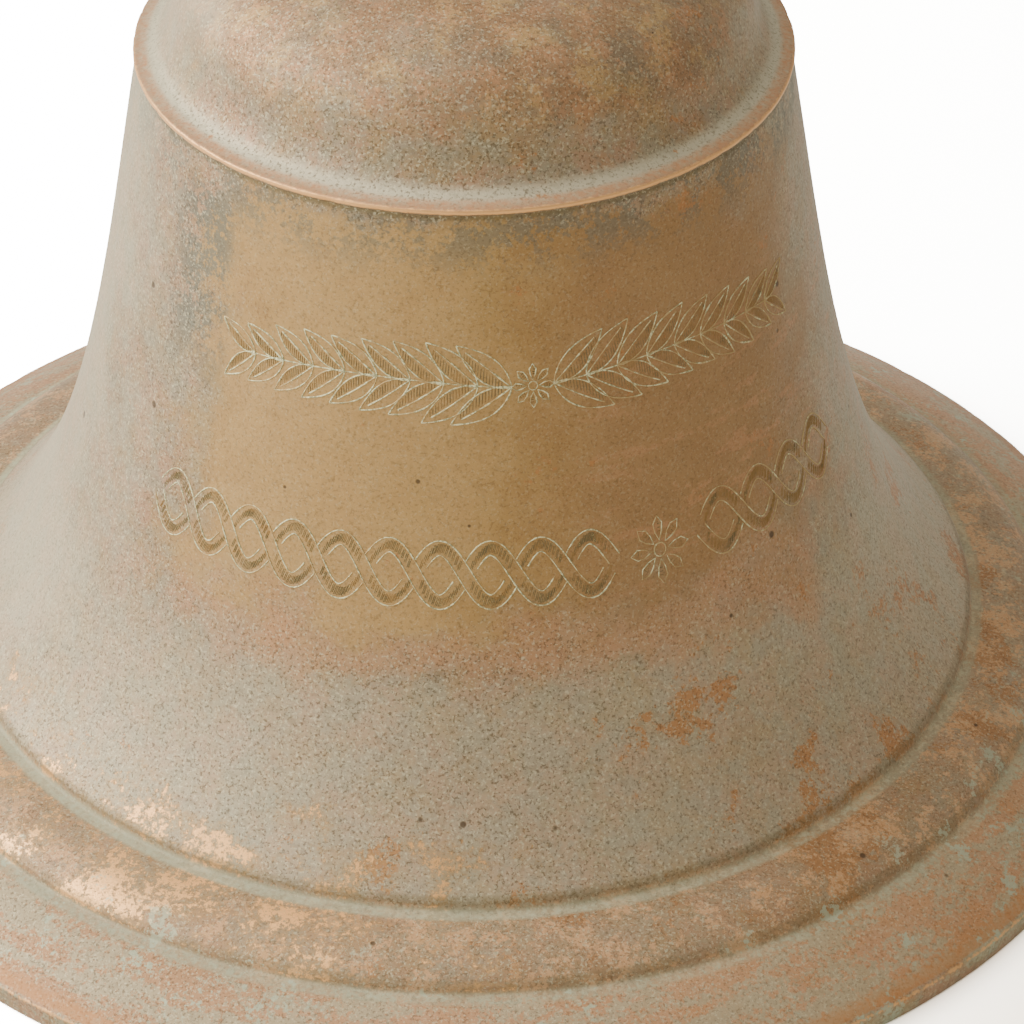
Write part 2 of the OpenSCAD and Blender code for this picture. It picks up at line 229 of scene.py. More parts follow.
nearRing, gin, gout = newGroup("distance to a ring", [
    ("Radius", "Float", 0.0), ("Height", "Float", 0.0), ("Ring Radius", "Float", 0.0), ("Ring Height", "Float", 0.0)],
    [("Distance", "Float")])
out, up = gin["Radius"] - gin["Ring Radius"], gin["Height"] - gin["Ring Height"]
join(nearRing, (out * out + up * up).do("SQRT"), gout["Distance"])
print("shared finishes made")


# the bell's shape, turned from its wall's section
bellShape = {  # millimetres, as the part's own sizes
    "shoulderRadius": 67.2, "shoulderHeight": 157.0, "headInset": 8.9, "waistWall": 6.0, "bowWall": 9.5,
    "crownWall": 9.0, "lipEdge": 5.0, "lipFlat": 6.5, "lipBand": 21.0, "bowBand": 17.6, "lowerStepHeight": 14.1,
    "upperStepHeight": 20.5, "lowerStep": 1.3, "upperStep": 2.0, "ridgeOut": 0.6, "seatRadius": 26.0,
    "boltHole": 8.3, "edgeBreak": 0.6,
    "around": 350, "waviness": 0.12, "waveSize": 24.0, "nicks": 0.22,
}
mouthRadius = shellHigh.x / mm
crownHeight = shellHigh.z / mm
lowerFoot = Vector((mouthRadius - bellShape["lipBand"], bellShape["lowerStepHeight"]))
upperFoot = Vector((lowerFoot.x - bellShape["bowBand"], bellShape["upperStepHeight"]))
ridge = Vector((bellShape["shoulderRadius"], bellShape["shoulderHeight"]))


def bezier(a, b, c, d, count):
    spots = []
    for i in range(count + 1):
        t = i / count
        s = 1 - t
        spots.append(a * s ** 3 + b * 3 * s * s * t + c * 3 * s * t * t + d * t ** 3)
    return spots


def polar(length, angle):
    return Vector((math.cos(math.radians(angle)), math.sin(math.radians(angle)))) * length


def waistCurve(count):  # from under the ridge down to the upper step
    head = ridge - Vector((bellShape["ridgeOut"], 1))
    foot = upperFoot + Vector((0, bellShape["upperStep"]))
    span = foot - head
    return bezier(head, head + Vector((span.x * 0.21, span.y * 0.383)),
                  head + Vector((span.x * 0.346, span.y * 0.808)), foot, count)


def roundCorners(points, reach, turn=20):  # closed outline: a sharp corner becomes a short arc
    out = []
    for i, p in enumerate(points):
        before, after = points[i - 1], points[(i + 1) % len(points)]
        back, onward = before - p, after - p
        if math.degrees(back.angle(-onward)) < turn:
            out.append(p)
            continue
        a = p + back.normalized() * min(reach, back.length * 0.45)
        c = p + onward.normalized() * min(reach, onward.length * 0.45)
        out += [a * (1 - t) ** 2 + p * 2 * t * (1 - t) + c * t * t for t in (0, 0.25, 0.5, 0.75, 1)]
    return out


def bellOutline():  # (radius, height) round the wall's section: lip, bow, waist, head, bore and inside
    b = bellShape
    outerEdge = mouthRadius - b["edgeBreak"]
    arris = Vector((outerEdge, b["lipEdge"] + 0.3))
    foot = lowerFoot + Vector((0.5, 0))
    bandFoot = lowerFoot + Vector((0, b["lowerStep"]))
    bandHead = upperFoot + Vector((0.8, 0))
    outline = [Vector((outerEdge, 0)), Vector((mouthRadius, b["edgeBreak"])),
               Vector((mouthRadius, b["lipEdge"] - b["edgeBreak"] / 2))]
    outline += bezier(arris, arris + polar(b["lipBand"] / 3, 150), foot + polar(b["lipBand"] / 3, -12), foot, 14)
    outline += bezier(bandFoot, bandFoot + polar(b["bowBand"] / 3, 138),
                      bandHead + polar(b["bowBand"] / 3, -6), bandHead, 14)
    waist = waistCurve(96)
    outline += waist[::-1]
    rise = crownHeight - b["shoulderHeight"]
    side = ridge + Vector((-b["headInset"], 0.41 * rise))
    top = Vector((b["seatRadius"], crownHeight))
    outline += [ridge + Vector((0, -0.5)), ridge + Vector((0, 0.3))]
    outline += bezier(ridge + Vector((-0.4, 0.6)), ridge + Vector((-b["headInset"] * 0.75, 1.2)),
                      side + polar(rise * 0.23, -76), side, 12)
    outline += bezier(side, side + polar(rise * 0.37, 104),
                      top + Vector(((side.x - top.x) * 0.53, -1)), top, 20)[1:]
    under = crownHeight - b["crownWall"]
    outline += [Vector((b["boltHole"], crownHeight)), Vector((b["boltHole"], under)),
                Vector((b["seatRadius"], under))]
    inner = []
    for i in range(1, 33):
        t = i / 32
        way = (waist[min(i * 3 + 1, 96)] - waist[i * 3 - 1]).normalized()
        wall = b["waistWall"] + (b["bowWall"] - b["waistWall"]) * t ** 3
        inner.append(waist[i * 3] + Vector((way.y, -way.x)) * wall)
    outline += bezier(outline[-1], outline[-1] + Vector((rise * 0.69, 0)),
                      Vector((side.x - 3.8, b["shoulderHeight"] + 4)), inner[1], 14)[1:-1]
    outline += inner[1:-1]
    way = (waist[-1] - waist[-2]).normalized()
    lipFoot = Vector((mouthRadius - b["lipFlat"], 0))
    outline += bezier(inner[-1], inner[-1] + way * b["bowWall"],
                      lipFoot + polar(b["lipBand"] * 0.67, 155), lipFoot, 12)
    return roundCorners(outline, 0.45)


revolve, gin, gout = newGroup("revolved wall", [
    ("Outline", "Geometry", None), ("Around", "Int", 350), ("Waviness", "Float", 0.0001),
    ("Wave Size", "Float", 0.02),
    ("Nicks", "Float", 0.0002), ("Material", "Material", None)], [("Mesh", "Geometry")], "GeometryNodeTree")
rings = put(revolve, "GeometryNodeAttributeDomainSize", {0: gin["Outline"]})["Point Count"]
sheet = put(revolve, "GeometryNodeMeshGrid", {"Size X": 1.0, "Size Y": 1.0, "Vertices X": gin["Around"] + 1.0,
                                              "Vertices Y": rings + 1.0})["Mesh"]
here = put(revolve, "GeometryNodeInputPosition")[0]
flat = put(revolve, "ShaderNodeSeparateXYZ", {0: here})
turn = (flat["X"] + 0.5) * (2 * math.pi)
ring = ((flat["Y"] + 0.5) * rings).do("ROUND").do("MODULO", rings)


def fromOutline(kind, value):  # the outline's own value at this ring
    return put(revolve, "GeometryNodeSampleIndex", {"Geometry": gin["Outline"], "Index": ring, "Value": value},
               data_type=kind, domain="POINT")["Value"]


section = put(revolve, "ShaderNodeSeparateXYZ", {0: fromOutline("FLOAT_VECTOR", here)})
place = put(revolve, "ShaderNodeCombineXYZ", {"X": section["X"] * turn.do("SINE"),
                                              "Y": section["X"] * turn.do("COSINE") * -1.0, "Z": section["Z"]})[0]
wall = sheet
for name in ("arris", "outside"):
    own = put(revolve, "GeometryNodeInputNamedAttribute", {"Name": name}, data_type="FLOAT")["Attribute"]
    wall = put(revolve, "GeometryNodeStoreNamedAttribute",
               {"Geometry": wall, "Name": name, "Value": fromOutline("FLOAT", own)},
               data_type="FLOAT", domain="POINT")["Geometry"]
wall = put(revolve, "GeometryNodeSetPosition", {"Geometry": wall, "Position": place})["Geometry"]
wall = put(revolve, "GeometryNodeMergeByDistance", {"Geometry": wall, "Distance": 0.000002})["Geometry"]
own = {name: put(revolve, "GeometryNodeInputNamedAttribute", {"Name": name}, data_type="FLOAT")["Attribute"]
       for name in ("arris", "outside")}
waves = put(revolve, "ShaderNodeTexNoise", {"Vector": here, "Scale": gin["Wave Size"].do("POWER", -1.0),
                                            "Detail": 2.0})["Fac"]
nicks = put(revolve, "ShaderNodeTexNoise", {"Vector": here, "Scale": 260.0, "Detail": 3.0, "Roughness": 0.65})["Fac"]
inwards = waves * gin["Waviness"] * own["outside"] + nicks.ramp(0.5, 0.72) * gin["Nicks"] * own["arris"]
shift = put(revolve, "ShaderNodeVectorMath", {0: put(revolve, "GeometryNodeInputNormal")[0], "Scale": inwards * -1.0},
            operation="SCALE")[0]
wall = put(revolve, "GeometryNodeSetPosition", {"Geometry": wall, "Offset": shift})["Geometry"]
wall = put(revolve, "GeometryNodeSetShadeSmooth", {0: wall})[0]
wall = put(revolve, "GeometryNodeRealizeInstances", {0: wall})[0]
wall = put(revolve, "GeometryNodeSetMaterial", {"Geometry": wall, "Material": gin["Material"]})[0]
join(revolve, wall, gout["Mesh"])


# the bell's finish, from the bare patina outwards
bellTints = {
    "greyPatina": tint(160, 140, 106), "warmPatina": tint(156, 117, 78), "gold": tint(170, 132, 72),
    "copper": tint(184, 126, 72), "pinkCopper": tint(196, 143, 98), "rubbed": tint(242, 184, 118),
    "peach": tint(222, 172, 120),
    "paleGold": tint(200, 162, 102), "deepGold": tint(150, 108, 54), "haze": tint(212, 202, 170),
    "verdigris": tint(168, 168, 136), "slate": tint(110, 110, 94), "palePatina": tint(200, 189, 158),
    "smut": tint(80, 60, 38), "fleck": tint(214, 202, 164), "olive": tint(112, 98, 64), "ochre": tint(172, 136, 86),
    "paleGreen": tint(176, 182, 152),
    "pinkPatina": tint(184, 140, 110), "coolPatina": tint(150, 150, 128), "inside": tint(104, 82, 54),
}
c = bellTints
bellBronze, t, shader, at = newMaterial("aged bell bronze")
xyz = put(t, "ShaderNodeSeparateXYZ", {0: at})
radius = (xyz["X"] * xyz["X"] + xyz["Y"] * xyz["Y"]).do("SQRT")
bearing = xyz["X"].do("ARCTAN2", xyz["Y"] * -1.0)  # radians from the front, positive to the right
height = xyz["Z"]
streakRadius = 50.0  # the circle that the streaks' pattern is read on, so that it meets itself at the back
along = put(t, "ShaderNodeCombineXYZ", {"X": xyz["X"].do("DIVIDE", radius) * streakRadius,
                                        "Y": xyz["Y"].do("DIVIDE", radius) * streakRadius, "Z": height * 3.0})[0]
wander = put(t, "ShaderNodeSeparateColor", {0: put(
    t, "ShaderNodeTexNoise", {"Vector": at, "Scale": 0.05, "Detail": 4.0, "Roughness": 0.62})["Color"]})
looseHeight = height + (wander[0] - 0.5) * 40.0
looseBearing = bearing + (wander[1] - 0.5) * 0.9
breakUp = put(t, "ShaderNodeTexNoise", {"Vector": at, "Scale": 0.75, "Detail": 3.0, "Roughness": 0.72})["Fac"] - 0.5
outer = put(t, "ShaderNodeAttribute", attribute_name="outside")["Fac"]
grit = useGroup(t, speckle, Vector=at, Grain=0.62)
spots = useGroup(t, speckle, Vector=at, Grain=1.7)


def patches(size, amount, soft, ragged, seed, where=at):
    return useGroup(t, patch, Vector=where, Size=size, Amount=amount, Soft=soft, Break_Up=breakUp, Ragged=ragged,
                    Shift=(seed * 91.0, seed * 37.0, seed * -53.0))["Mask"]


def ringDistance(ringAt, outwards=0.0, upwards=0.0):
    return useGroup(t, nearRing, Radius=radius, Height=height, Ring_Radius=ringAt.x + outwards,
                    Ring_Height=ringAt.y + upwards)["Distance"]


tone = solidTint(t, c["greyPatina"])
tone = tone.cover(patches(36, 0.5, 0.14, 0.5, 1) * 0.7, c["warmPatina"])
tone = tone.cover(patches(15, 0.45, 0.16, 0.7, 2) * 0.22, c["palePatina"])
tone = tone.cover(patches(7, 0.5, 0.1, 0.7, 15) * 0.5, c["ochre"])
tone = tone.cover(patches(11, 0.5, 0.1, 0.7, 16) * 0.5, c["pinkPatina"])
tone = tone.cover(patches(6, 0.47, 0.1, 0.7, 17) * 0.5, c["coolPatina"])
# painted reflection: the right-hand side made paler, where the pale surroundings reflect at a grazing angle
tone = tone.cover(bearing.between(0.9, 1.3, 2.2, 3.0) * 0.25, c["palePatina"])
tone = tone.cover(height.between(17, 26, 52, 66) * 0.3, c["palePatina"])
# golden field round the ornament, pinker along its lower edge
goldField = looseHeight.between(60, 78, 151, 158) * looseBearing.between(-0.92, -0.66, 0.85, 1.3)
golden = solidTint(t, c["gold"]).cover(patches(11, 0.5, 0.14, 0.6, 12) * 0.35, c["paleGold"])
golden = golden.cover(patches(7, 0.46, 0.12, 0.7, 13) * 0.35, c["deepGold"])
# painted light: the gold made paler on its left, the side the light comes from
goldPaintedLitLeft = looseHeight.between(62, 76, 150, 158) * looseBearing.between(-0.9, -0.5, -0.1, 0.3)
golden = golden.cover(goldPaintedLitLeft * 0.5, c["paleGold"])
golden = golden.cover(bearing.between(0.05, 0.45, 1.6, 2.4) * 0.62, c["warmPatina"])
tone = tone.cover(goldField * 0.92, golden)
goldFoot = looseHeight.between(56, 63, 66, 74) * looseBearing.between(-0.9, -0.5, 0.9, 1.2)
tone = tone.cover(goldFoot * 0.45, c["pinkCopper"])
pinkStreaks = patches(9, 0.4, 0.06, 0.5, 3, along) * height.between(60, 85, 110, 140)
tone = tone.cover(pinkStreaks * bearing.between(0.1, 0.6, 2.0, 3.0) * 0.5, c["pinkCopper"])
# head: browner on top, paler down its side, and a painted highlight in the upward-facing cove over the ridge
headTop = looseHeight.ramp(167, 175)
tone = tone.cover(headTop * (patches(20, 0.52, 0.08, 0.8, 4) * 0.45 + 0.4), c["warmPatina"])
tone = tone.cover(headTop * patches(9, 0.43, 0.05, 0.8, 5) * 0.6, c["paleGold"])
tone = tone.cover(headTop * patches(12, 0.42, 0.06, 0.7, 14) * 0.42, c["slate"])
tone = tone.cover(headTop * patches(6, 0.42, 0.05, 0.8, 19) * 0.5, c["pinkCopper"])
# painted highlight: the cove over the ridge lightened as though it caught the sky
paintedCoveHighlight = ringDistance(ridge, -3.4, 1.2)
tone = tone.cover(paintedCoveHighlight.ramp(3.6, 0.8) * height.ramp(157, 157.5) * 0.95, c["palePatina"])
# slate stains under the ridge and left of the golden field
underRidge = height.between(140, 152, 155, 156.5) * radius.ramp(75, 70)
stains = patches(9, 0.5, 0.06, 1.0, 6)
leftStain = bearing.between(-1.0, -0.86, -0.74, -0.66) * height.between(100, 126, 146, 156)
tone = tone.cover(stains * (underRidge * 0.6).most(leftStain * 0.8), c["slate"])
# painted shade: a thin dark olive line just under the ridge's overhang
tone = tone.cover(height.between(154.4, 155.6, 156.1, 156.6) * radius.ramp(75, 70) * 0.7, c["olive"])
# copper showing through, mostly low down and to the right
copperShare = bearing.between(-0.2, 0.8, 2.2, 3.0) * 0.09 + height.ramp(60, 20) * 0.09 + 0.24
copperMask = patches(15, copperShare, 0.035, 0.5, 7)
tone = tone.cover(copperMask * 0.8, c["copper"])
# bow band and lip: warmer, with verdigris lying round them
lipZone = ringDistance(lowerFoot, 11, -4).ramp(12, 9)
tone = tone.cover(lipZone * 0.7, c["pinkCopper"])
tone = tone.cover(lipZone * bearing.between(-2.4, -1.3, -0.5, 0.0) * 0.5, c["warmPatina"])
bowZone = height.between(12.5, 14.5, 20.5, 23)
tone = tone.cover(bowZone * (breakUp * 2.0 + 0.45), c["warmPatina"])
tone = tone.cover(bowZone * patches(8, 0.44, 0.05, 0.9, 18) * 0.6, c["peach"])
lipGreen = height.ramp(15, 13.5) * radius.ramp(128, 130) * patches(8, 0.48, 0.04, 0.8, 8, along)
tone = tone.cover(lipGreen * 0.55, c["verdigris"])
# speckle
quiet = goldField * 0.44
calm = (1.0 - bearing.between(0.05, 0.7, 2.2, 3.0) * 0.28) * (1.0 - height.ramp(24, 18) * 0.2)
calm = calm * (1.0 - headTop * 0.15)
tone = tone.cover(grit["Light"] * (0.62 - quiet) * calm, c["fleck"])
tone = tone.cover(grit["Dark"] * (0.6 - quiet * 0.7) * calm, c["smut"])
tone = tone.cover(spots["Dark"] * (0.2 - quiet * 0.2) * calm, c["smut"])
# painted sheen: a pale veil of reflected light over the left side of the waist
tone = tone.cover(looseBearing.between(-2.5, -1.6, -1.4, -0.9) * height.ramp(15, 40) * 0.36, c["haze"])
# bright rubbed metal low on the left, in a softer peach that runs out round it
rubZone = looseBearing.between(-1.5, -1.0, -0.15, 0.3) * height.between(12.5, 15, 24, 42)
rubShare = rubZone * 0.33 + 0.1
tone = tone.cover(patches(14, rubShare + 0.09, 0.09, 0.7, 9) * height.ramp(9, 15) * 0.6, c["ochre"])
rubbed = patches(14, rubShare, 0.035, 0.7, 9) * height.ramp(12, 15)
tone = tone.cover(rubbed * (1.0 - grit["Dark"] * 0.5), c["rubbed"])
# the steps: a dark line of painted shade on each riser, over a pale line of verdigris
steps = ((upperFoot, 1.0), (lowerFoot, 0.8))
paleLine, paintedStepShade = None, None
for foot, amount in steps:
    pale = (ringDistance(foot, 1.6, -0.1) + breakUp * 1.6).ramp(2.0, 0.9) * amount
    dark = (ringDistance(foot, -0.3, 1.9) + breakUp * 1.2).ramp(1.5, 0.5) * amount
    paleLine = pale if paleLine is None else paleLine.most(pale)
    paintedStepShade = dark if paintedStepShade is None else paintedStepShade.most(dark)
# painted shade: the dark olive line on each step's riser
tone = tone.cover(paintedStepShade * (breakUp * 1.5 + 0.42), c["olive"])
verdigris = paleLine * (breakUp * 2.2 + bearing.between(-3.0, -2.0, -0.8, 1.2) * 0.35 + 0.5)
tone = tone.cover(verdigris * 0.85, c["verdigris"])
# rubbed edges: copper beside them, and on them a bright line that is partly rubbed bronze, partly a painted highlight
ridgeEdge, lipEdge = ringDistance(ridge), ringDistance(Vector((mouthRadius, bellShape["lipEdge"])))
besideRidge = ringDistance(ridge, -1.0, 0.7).ramp(2.6, 1.2) * height.ramp(156.6, 157.1)
besideLip = (lipEdge + breakUp * 5.0).ramp(5.5, 2.5) * radius.ramp(149.3, 148.9)
tone = tone.cover(besideLip * 0.6, c["copper"])
tone = tone.cover(besideRidge * (breakUp * 2.2 + 0.6), c["pinkCopper"])
# partly painted highlight: the bright line along the ridge and lip arrises, partly rubbed bronze
rubbedEdgeAndHighlight = (ridgeEdge + breakUp * 1.3).ramp(0.8, 0.3).most((lipEdge + breakUp * 1.6).ramp(0.6, 0.2) * 0.8)
tone = tone.cover(rubbedEdgeAndHighlight, c["rubbed"])
# pits
greens = patches(9, 0.34, 0.03, 0.7, 20) * radius.ramp(112, 128)
tone = tone.cover(greens * 0.7, c["paleGreen"])
pits = useGroup(t, pitting, Vector=at, Spacing=9.0, Radius=0.085, Share=0.2)["Mask"]
tone = tone.cover(pits * 0.85, c["smut"])
# rough dull inside
insideTone = solidTint(t, c["inside"]).cover(patches(25, 0.5, 0.12, 0.6, 11) * 0.5, c["slate"])
insideTone = insideTone.cover(grit["Light"] * 0.3, c["fleck"]).cover(grit["Dark"] * 0.4, c["smut"])
tone = tone.cover(outer.ramp(0.6, 0.1), insideTone)
join(t, tone, shader["Base Color"])
bare = rubbed.most(rubbedEdgeAndHighlight).most(copperMask * 0.4)
join(t, (bare * 0.25 + 0.45) * verdigris.ramp(1.0, 0.2), shader["Metallic"])
join(t, 0.56 + grit["Dark"] * 0.1 - bare * 0.14 + verdigris * 0.2, shader["Roughness"])
shader["Sheen Weight"].default_value = 0.12
shader["Sheen Roughness"].default_value = 0.45
relief = grit["Height"] * 0.5 + spots["Height"] * 0.7 - pits * 1.5
join(t, put(t, "ShaderNodeBump", {"Strength": 0.4, "Distance": 0.00016, "Height": relief})[0], shader["Normal"])

outline = bellOutline()
bell = meshObject("bellShell", [(p.x * mm, 0, p.y * mm) for p in outline])
outerCount = min(i for i, p in enumerate(outline) if p.x < bellShape["boltHole"] + 0.5)
lipCorner = Vector((mouthRadius, bellShape["lipEdge"]))
arrisOf = [max(0.0, 1 - (p - ridge).length / 2.6, 1 - (p - lipCorner).length / 3.5) if i < outerCount else 0.0
           for i, p in enumerate(outline)]
outsideOf = [1.0 if i < outerCount and p.x > bellShape["seatRadius"] + 1 else 0.0 for i, p in enumerate(outline)]
for name, numbers in (("arris", arrisOf), ("outside", outsideOf)):
    bell.data.attributes.new(name, "FLOAT", "POINT").data.foreach_set("value", numbers)
bakeNodes(bell, (revolve, {"Around": bellShape["around"], "Waviness": bellShape["waviness"] * mm,
                           "Wave Size": bellShape["waveSize"] * mm, "Nicks": bellShape["nicks"] * mm,
                           "Material": bellBronze}))
keep(bell, "bell", "bell_bronze", "bell_shell")
print("bell shell:", len(outline), "rings,", len(bell.data.polygons), "faces")


# ornament on the waist, drawn flat in millimetres and then laid on the bell
ornament = {  # millimetres and degrees
    "branchMiddle": 15.0, "branchHeight": 120.5, "branchReach": 62.0, "branchRadius": 77.0, "branchLeaves": 9,
    "leafLength": 14.5, "leafWidth": 5.2, "leafTilt": 36.0,
    "plaitStart": -76.0, "plaitEnd": 104.0, "plaitHeight": 81.5,
    "plaitRise": 5.6, "plaitStep": 23.0, "plaitRadius": 88.0, "plaitStrand": 1.5, "gapStart": 34.0, "gapEnd": 56.0,
    "strokeRadius": 0.15, "hatchRadius": 0.085, "seed": 4,
}


def polyline(strokes, spots, closed=False):  # adds one stroke to a pair of lists, its points and its edges
    points, edges = strokes
    first = len(points)
    points += [Vector((x, y, 0)) for x, y in spots]
    edges += [(first + i, first + i + 1) for i in range(len(spots) - 1)]
    if closed:
        edges.append((len(points) - 1, first))


def leafStrokes(length, width):  # a laurel leaf from its foot at the origin, its outline and its hatching
    lines, hatch = ([], []), ([], [])
    half = lambda t, w: w / 2 * math.sin(math.pi * t ** 0.85) ** 0.9
    steps = [i / 24 for i in range(25)]
    polyline(lines, [(length * t, half(t, width)) for t in steps])
    polyline(lines, [(length * t, -half(t, width)) for t in steps])
    polyline(lines, [(length * t, 0.25 * math.sin(math.pi * t)) for t in steps[:21]])
    count = int(length / 0.75)
    for i in range(3, count - 2):
        t = i / count
        reach = half(t, width)
        polyline(hatch, [(length * t - 0.5 * k * reach, -reach * (0.15 + 0.75 * k)) for k in (0, 0.5, 1)])
    return lines, hatch


branch, gin, gout = newGroup("leafy branch", [
    ("Stem", "Geometry", None), ("Leaf", "Object", None), ("Leaves", "Int", 9), ("Tilt", "Float", 0.6),
    ("Loose", "Float", 0.06), ("Taper", "Float", 0.3), ("Seed", "Int", 0), ("Keep Stem", "Bool", True)],
    [("Strokes", "Geometry")], "GeometryNodeTree")
stem = put(branch, "GeometryNodeMeshToCurve", {0: gin["Stem"]})[0]
feet = put(branch, "GeometryNodeResampleCurve", {"Curve": stem, "Count": gin["Leaves"]})[0]
leaf = put(branch, "GeometryNodeObjectInfo", {"Object": gin["Leaf"]})["Geometry"]
tangent = put(branch, "ShaderNodeSeparateXYZ", {0: put(branch, "GeometryNodeInputTangent")[0]})
heading = tangent["Y"].do("ARCTAN2", tangent["X"])
share = put(branch, "GeometryNodeSplineParameter")["Factor"]
pieces = []
for side in (1.0, -1.0):
    loose = put(branch, "FunctionNodeRandomValue", {"Min": gin["Loose"] * -1.0, "Max": gin["Loose"],
                                                    "Seed": gin["Seed"] + side}, data_type="FLOAT")[1]
    angle = put(branch, "ShaderNodeCombineXYZ", {"Z": heading + gin["Tilt"] * side + loose})[0]
    size = 1.0 - share * gin["Taper"]
    pieces.append(put(branch, "GeometryNodeInstanceOnPoints", {
        "Points": feet, "Instance": leaf,
        "Scale": put(branch, "ShaderNodeCombineXYZ", {"X": size, "Y": size * side, "Z": 1.0})[0],
        "Rotation": put(branch, "FunctionNodeEulerToRotation", {0: angle})[0]})[0])
joined = branch.nodes.new("GeometryNodeJoinGeometry")
for piece in pieces:
    branch.links.new(piece.socket, joined.inputs[0])
stemKept = put(branch, "GeometryNodeSwitch", {"Switch": gin["Keep Stem"], "True": gin["Stem"]},
               input_type="GEOMETRY")[0]
branch.links.new(stemKept.socket, joined.inputs[0])
join(branch, put(branch, "GeometryNodeRealizeInstances", {0: Field(joined.outputs[0])})[0], gout["Strokes"])

engrave, gin, gout = newGroup("strokes laid on the bell", [
    ("Strokes", "Geometry", None), ("Bell", "Object", None), ("Wrap Radius", "Float", 80.0),
    ("Stroke Radius", "Float", 0.15), ("Uneven", "Float", 0.4), ("Shift", "Vector", None),
    ("Material", "Material", None)], [("Mesh", "Geometry")], "GeometryNodeTree")
spot = put(engrave, "ShaderNodeSeparateXYZ", {0: put(engrave, "ShaderNodeVectorMath", {
    0: put(engrave, "GeometryNodeInputPosition")[0], 1: gin["Shift"]}, operation="ADD")[0]})
around = put(engrave, "ShaderNodeMath", {0: spot["X"], 1: gin["Wrap Radius"]}, operation="DIVIDE")[0]
far = mouthRadius * 2 * mm
source = put(engrave, "ShaderNodeCombineXYZ", {"X": around.do("SINE") * far, "Y": around.do("COSINE") * -far,
                                               "Z": spot["Y"] * mm})[0]
inward = put(engrave, "ShaderNodeCombineXYZ", {"X": around.do("SINE") * -1.0, "Y": around.do("COSINE")})[0]
bellSurface = put(engrave, "GeometryNodeObjectInfo", {"Object": gin["Bell"]})["Geometry"]
hit = put(engrave, "GeometryNodeRaycast", {"Target Geometry": bellSurface, "Source Position": source,
                                           "Ray Direction": inward, "Ray Length": far})
laid = put(engrave, "GeometryNodeSetPosition", {"Geometry": gin["Strokes"], "Position": hit["Hit Position"]})[0]
lines = put(engrave, "GeometryNodeMeshToCurve", {0: laid})[0]
hand = put(engrave, "ShaderNodeTexNoise", {"Scale": 420.0, "Detail": 2.0, "Roughness": 0.7})["Fac"]
thick = (1.0 - gin["Uneven"] + hand.ramp(0.3, 0.7) * gin["Uneven"] * 2.0) * gin["Stroke Radius"] * mm
lines = put(engrave, "GeometryNodeSetCurveRadius", {"Curve": lines, "Radius": thick})[0]
bead = put(engrave, "GeometryNodeCurvePrimitiveCircle", {"Resolution": 5, "Radius": 1.0})[0]
tube = put(engrave, "GeometryNodeCurveToMesh", {"Curve": lines, "Profile Curve": bead, "Fill Caps": True,
                                                "Scale": put(engrave, "GeometryNodeInputRadius")[0]})[0]
tube = put(engrave, "GeometryNodeRealizeInstances", {0: tube})[0]
tube = put(engrave, "GeometryNodeSetMaterial", {"Geometry": tube, "Material": gin["Material"]})[0]
join(engrave, tube, gout["Mesh"])


def strokeFinish(name, pale, dull, worn, paleShare):
    material, t, shader, at = newMaterial(name)
    rub = put(t, "ShaderNodeTexNoise", {"Vector": at, "Scale": 0.35, "Detail": 3.0, "Roughness": 0.7})["Fac"]
    fine = put(t, "ShaderNodeTexNoise", {"Vector": at, "Scale": 1.6, "Detail": 2.0, "Roughness": 0.7})["Fac"]
    tone = solidTint(t, dull).cover(fine.ramp(0.62 - paleShare, 0.72 - paleShare), pale)
    fade = put(t, "ShaderNodeSeparateXYZ", {0: at})["X"].ramp(10, 75) * 0.16
    join(t, tone.cover((rub + fade).ramp(0.48, 0.64) * 0.85, worn), shader["Base Color"])
    join(t, fine.ramp(0.3, 0.7, 0.5, 0.75), shader["Roughness"])
    join(t, rub.ramp(0.4, 0.7, 0.15, 0.5), shader["Metallic"])
    join(t, put(t, "ShaderNodeBump", {"Strength": 0.4, "Distance": 0.00008, "Height": fine})[0], shader["Normal"])
    return material


cutLine = strokeFinish("verdigris in the cut lines", tint(232, 226, 178), tint(160, 156, 116),
                       tint(186, 152, 98), 0.2)
cutHatch = strokeFinish("dark hatching", tint(170, 160, 108), tint(112, 98, 62), tint(160, 124, 70), 0.04)


def layOrnament(name, strokes, wrapRadius, strokeRadius, material, steps=()):
    item = meshObject(name, strokes[0], edges=strokes[1])
    bakeNodes(item, *steps, (engrave, {"Bell": bell, "Wrap Radius": wrapRadius, "Stroke Radius": strokeRadius,
                                       "Material": material}))
    keep(item, "bell", "bell_bronze")
    return item


o = ornament
leafLines, leafHatch = leafStrokes(o["leafLength"], o["leafWidth"])
for way, label in ((-1, "Left"), (1, "Right")):
    stemStrokes = ([], [])
    polyline(stemStrokes, [(o["branchMiddle"] + way * (4.5 + o["branchReach"] * i / 60 * 0.9),
                            o["branchHeight"] + 1.6 * math.sin(math.pi * i / 60)) for i in range(61)])
    for kind, leafShape, radius, material, keepStem in (("Lines", leafLines, o["strokeRadius"], cutLine, True),
                                                        ("Hatch", leafHatch, o["hatchRadius"], cutHatch, False)):
        stamp = meshObject("leafStamp", leafShape[0], edges=leafShape[1])
        layOrnament("branch" + label + kind, stemStrokes, o["branchRadius"], radius, material, [(branch, {
            "Leaf": stamp, "Leaves": o["branchLeaves"], "Tilt": math.radians(o["leafTilt"]), "Seed": o["seed"],
            "Keep Stem": keepStem})])
        bpy.data.objects.remove(stamp)

